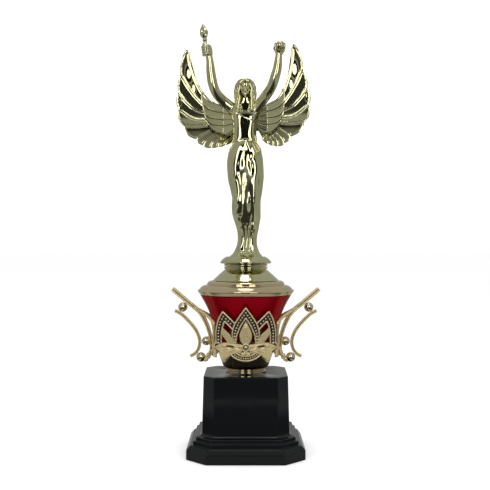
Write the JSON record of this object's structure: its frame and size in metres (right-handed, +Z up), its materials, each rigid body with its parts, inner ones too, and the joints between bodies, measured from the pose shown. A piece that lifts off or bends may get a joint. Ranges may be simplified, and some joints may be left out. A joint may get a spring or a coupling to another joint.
{
  "type": "figure trophy",
  "caption": "Winged victory figure raising a torch, on a lidded cup with an openwork crown, side handles and a stepped square base.",
  "frame": {"origin": "centre of the underside of the base, on the surface it stands on", "axes": "+Z up along the threaded rod, -Y out of the front medallion, +X towards the trophy's own left handle"},
  "size_m": [0.132, 0.102, 0.3799],
  "materials": {
    "gold_plating": "pale gold metallised plastic, mirror bright",
    "gold_satin": "warm gold metallised plastic, satin",
    "red_plating": "deep red metallised plastic, glossy",
    "black_plastic": "moulded black plastic, polished",
    "steel": "zinc plated"
  },
  "bodies": {
    "stand": {"base_shell": "black_plastic", "weight_plate": "steel", "threaded_rod": "steel", "base_washer": "steel", "base_nut": "steel", "cup_foot": "gold_plating", "crown_ring": "gold_plating", "crown_front": "gold_satin", "crown_back": "gold_satin", "handle_left": "gold_satin", "handle_right": "gold_satin", "cup": "red_plating", "lid": "gold_plating", "figure_riser": "gold_plating"},
    "figure": {"figure_body": "gold_plating", "figure_nut": "steel", "wing_left": "gold_plating", "wing_right": "gold_plating"}
  },
  "joints": [
    {"name": "figure_turn", "type": "hinge", "parent": "stand", "child": "figure", "pos_m": [0, 0, 0.1644], "axis": [0, 0, 1], "continuous": true}
  ]
}
